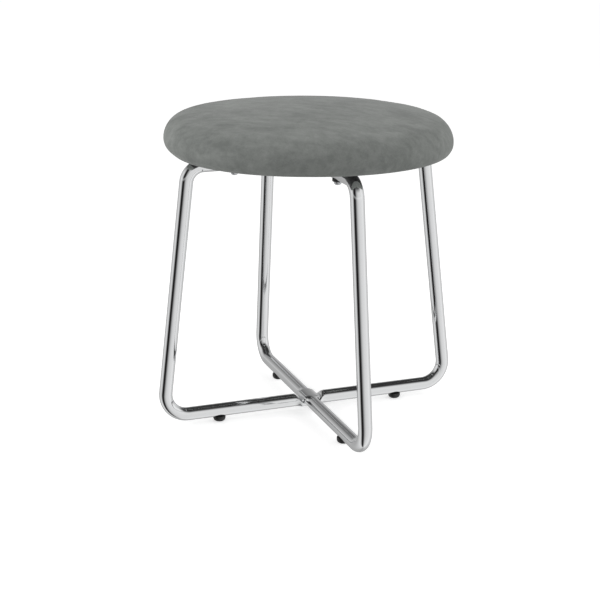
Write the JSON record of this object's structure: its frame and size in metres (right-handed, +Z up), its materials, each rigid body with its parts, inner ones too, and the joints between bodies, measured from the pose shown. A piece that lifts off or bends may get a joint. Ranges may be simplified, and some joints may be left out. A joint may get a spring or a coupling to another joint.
{
  "type": "vanity stool",
  "caption": "Backless vanity stool: round upholstered cushion in grey velvet on a chromed bent-tube frame whose two closed loops cross under the seat and near the floor.",
  "frame": {"origin": "centre of the stool on the floor, under the middle of the seat", "axes": "+Z up through the seat's centre, +X to the right as seen from the front, front is -Y; the legs stand on the diagonals"},
  "size_m": [0.3998, 0.3998, 0.4572],
  "materials": {
    "velvet": "short-pile velvet, matt with a soft sheen",
    "foam": "open-cell polyurethane",
    "plywood": "raw plywood",
    "cambric": "thin matt non-woven",
    "zinc_steel": "bright zinc",
    "black_nylon": "matt",
    "chrome": "polished chrome plate on steel",
    "glide_plastic": "satin"
  },
  "bodies": {
    "root": {"seat_cover": "velvet", "cushion_foam": "foam", "seat_board": "plywood", "dust_cover": "cambric", "cover_staples": "zinc_steel", "dust_cover_staples": "zinc_steel", "tee_nuts": "zinc_steel", "seat_bolts": "zinc_steel", "lock_washers": "zinc_steel", "saddle_washers": "black_nylon", "outer_frame_loop": "chrome", "inner_frame_loop": "chrome", "lower_crossing_weld": "chrome", "upper_crossing_weld": "chrome", "glide_back_right": "glide_plastic", "glide_back_left": "glide_plastic", "glide_front_left": "glide_plastic", "glide_front_right": "glide_plastic"}
  },
  "joints": []
}
